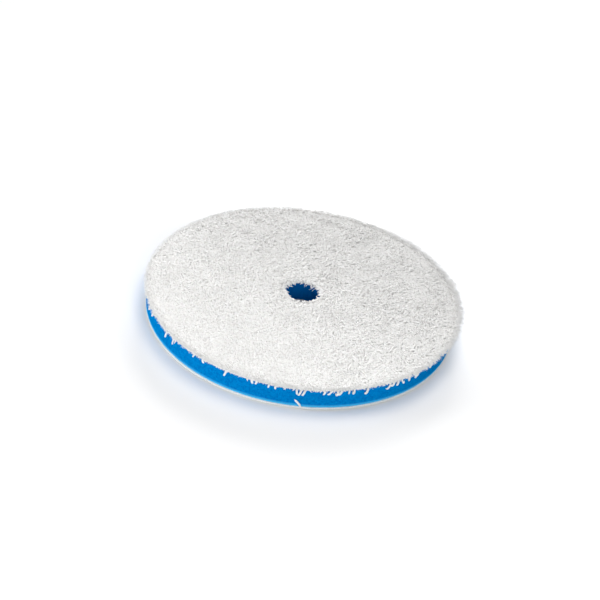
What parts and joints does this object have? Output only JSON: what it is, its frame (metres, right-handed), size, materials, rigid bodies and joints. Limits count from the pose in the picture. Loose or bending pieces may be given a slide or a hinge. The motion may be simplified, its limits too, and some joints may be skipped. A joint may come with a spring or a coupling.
{
  "type": "polishing pad",
  "caption": "Round microfibre polishing pad: white pile face on a blue foam interface, with a hook-and-loop back and a punched centre hole.",
  "frame": {"origin": "centre of the loop back's outer face, which is the surface that the pad lies on", "axes": "+Z along the pad's axis, from the loop back to the white working face; +X and +Y are any two directions across the disc"},
  "size_m": [0.16, 0.16, 0.0153],
  "materials": {
    "pile": "matte",
    "face_knit": "matte",
    "adhesive": "satin",
    "foam": "matte",
    "back_knit": "matte",
    "loops": "matte",
    "yarn": "matte"
  },
  "bodies": {
    "backing": {"foam_core": "foam", "back_bond": "adhesive", "loop_ground": "back_knit", "loop_pile": "loops"},
    "face": {"face_bond": "adhesive", "ground_cloth": "face_knit", "face_pile": "pile", "rim_yarn_ends": "yarn"}
  },
  "joints": [
    {"name": "foam_press", "type": "slide", "parent": "backing", "child": "face", "axis": [0, 0, -1], "range_m": [0, 0.0035], "stiffness_N_per_m": 12000, "deforming": ["foam_core"]}
  ]
}
